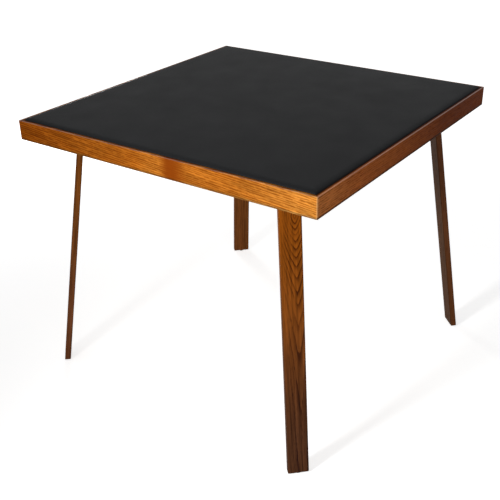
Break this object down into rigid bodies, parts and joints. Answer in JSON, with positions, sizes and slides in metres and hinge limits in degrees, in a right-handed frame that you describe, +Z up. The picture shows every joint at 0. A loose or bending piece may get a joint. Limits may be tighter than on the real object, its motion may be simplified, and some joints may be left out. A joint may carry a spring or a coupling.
{
  "type": "folding card table",
  "caption": "Square folding card table with a mitred oak frame, a padded black vinyl inset top and splayed board legs that fold flat underneath on slotted stays.",
  "frame": {"origin": "centre of the table's footprint on the floor, with the legs open", "axes": "+Z up, -Y out of the front rail, +X out of the right rail"},
  "size_m": [0.8948, 0.8948, 0.7334],
  "materials": {
    "rail_oak": "satin stained oak",
    "leg_oak": "satin stained oak, darker",
    "block_wood": "raw sanded wood",
    "plywood": "raw plywood",
    "foam": "soft foam",
    "black_vinyl": "matt grained vinyl",
    "zinc_steel": "zinc plated",
    "spring_wire": "spring wire",
    "nylon_bush": "moulded nylon",
    "glide_plastic": "moulded plastic"
  },
  "bodies": {
    "tabletop": {"rail_front": "rail_oak", "rail_right": "rail_oak", "rail_back": "rail_oak", "rail_left": "rail_oak", "top_panel": "plywood", "foam_pad": "foam", "top_cover": "black_vinyl", "corner_block_front_right": "block_wood", "pivot_plate_front_right": "zinc_steel", "end_plate_front_right": "zinc_steel", "hinge_pin_front_right": "zinc_steel", "stay_pivot_front_right": "zinc_steel", "plate_bolt_inner_front_right": "zinc_steel", "plate_bolt_outer_front_right": "zinc_steel", "corner_block_front_left": "block_wood", "pivot_plate_front_left": "zinc_steel", "end_plate_front_left": "zinc_steel", "hinge_pin_front_left": "zinc_steel", "stay_pivot_front_left": "zinc_steel", "plate_bolt_inner_front_left": "zinc_steel", "plate_bolt_outer_front_left": "zinc_steel", "corner_block_back_left": "block_wood", "pivot_plate_back_left": "zinc_steel", "end_plate_back_left": "zinc_steel", "hinge_pin_back_left": "zinc_steel", "stay_pivot_back_left": "zinc_steel", "plate_bolt_inner_back_left": "zinc_steel", "plate_bolt_outer_back_left": "zinc_steel", "corner_block_back_right": "block_wood", "pivot_plate_back_right": "zinc_steel", "end_plate_back_right": "zinc_steel", "hinge_pin_back_right": "zinc_steel", "stay_pivot_back_right": "zinc_steel", "plate_bolt_inner_back_right": "zinc_steel", "plate_bolt_outer_back_right": "zinc_steel"},
    "leg_front_right": {"leg_front_right": "leg_oak", "leg_bush_front_right": "nylon_bush", "stay_stud_front_right": "zinc_steel", "glide_front_right": "glide_plastic"},
    "stay_front_right": {"stay_front_right": "zinc_steel", "catch_spring_front_right": "spring_wire"},
    "leg_front_left": {"leg_front_left": "leg_oak", "leg_bush_front_left": "nylon_bush", "stay_stud_front_left": "zinc_steel", "glide_front_left": "glide_plastic"},
    "stay_front_left": {"stay_front_left": "zinc_steel", "catch_spring_front_left": "spring_wire"},
    "leg_back_left": {"leg_back_left": "leg_oak", "leg_bush_back_left": "nylon_bush", "stay_stud_back_left": "zinc_steel", "glide_back_left": "glide_plastic"},
    "stay_back_left": {"stay_back_left": "zinc_steel", "catch_spring_back_left": "spring_wire"},
    "leg_back_right": {"leg_back_right": "leg_oak", "leg_bush_back_right": "nylon_bush", "stay_stud_back_right": "zinc_steel", "glide_back_right": "glide_plastic"},
    "stay_back_right": {"stay_back_right": "zinc_steel", "catch_spring_back_right": "spring_wire"}
  },
  "joints": [
    {"name": "leg_fold_front_right", "type": "hinge", "parent": "tabletop", "child": "leg_front_right", "pos_m": [0.30543, -0.34202, 0.708], "axis": [0.7071, 0.7071, 0], "range_deg": [0, 99.4]},
    {"name": "stay_fold_front_right", "type": "hinge", "parent": "tabletop", "child": "stay_front_right", "pos_m": [0.32947, -0.36606, 0.708], "axis": [0.7071, 0.7071, 0], "range_deg": [0, 49.7], "deforming": ["catch_spring_front_right"]},
    {"name": "leg_fold_front_left", "type": "hinge", "parent": "tabletop", "child": "leg_front_left", "pos_m": [-0.34404, -0.30745, 0.69075], "axis": [0.7071, -0.7071, 0], "range_deg": [0, 99.4]},
    {"name": "stay_fold_front_left", "type": "hinge", "parent": "tabletop", "child": "stay_front_left", "pos_m": [-0.36808, -0.33149, 0.69075], "axis": [0.7071, -0.7071, 0], "range_deg": [0, 49.7], "deforming": ["catch_spring_front_left"]},
    {"name": "leg_fold_back_left", "type": "hinge", "parent": "tabletop", "child": "leg_back_left", "pos_m": [-0.30543, 0.34202, 0.708], "axis": [-0.7071, -0.7071, 0], "range_deg": [0, 99.4]},
    {"name": "stay_fold_back_left", "type": "hinge", "parent": "tabletop", "child": "stay_back_left", "pos_m": [-0.32947, 0.36606, 0.708], "axis": [-0.7071, -0.7071, 0], "range_deg": [0, 49.7], "deforming": ["catch_spring_back_left"]},
    {"name": "leg_fold_back_right", "type": "hinge", "parent": "tabletop", "child": "leg_back_right", "pos_m": [0.34404, 0.30745, 0.69075], "axis": [-0.7071, 0.7071, 0], "range_deg": [0, 99.4]},
    {"name": "stay_fold_back_right", "type": "hinge", "parent": "tabletop", "child": "stay_back_right", "pos_m": [0.36808, 0.33149, 0.69075], "axis": [-0.7071, 0.7071, 0], "range_deg": [0, 49.7], "deforming": ["catch_spring_back_right"]}
  ],
  "couplings": [
    {"joint": "stay_fold_front_right", "follows": "leg_fold_front_right", "ratio": 0.5},
    {"joint": "stay_fold_front_left", "follows": "leg_fold_front_left", "ratio": 0.5},
    {"joint": "stay_fold_back_left", "follows": "leg_fold_back_left", "ratio": 0.5},
    {"joint": "stay_fold_back_right", "follows": "leg_fold_back_right", "ratio": 0.5}
  ]
}
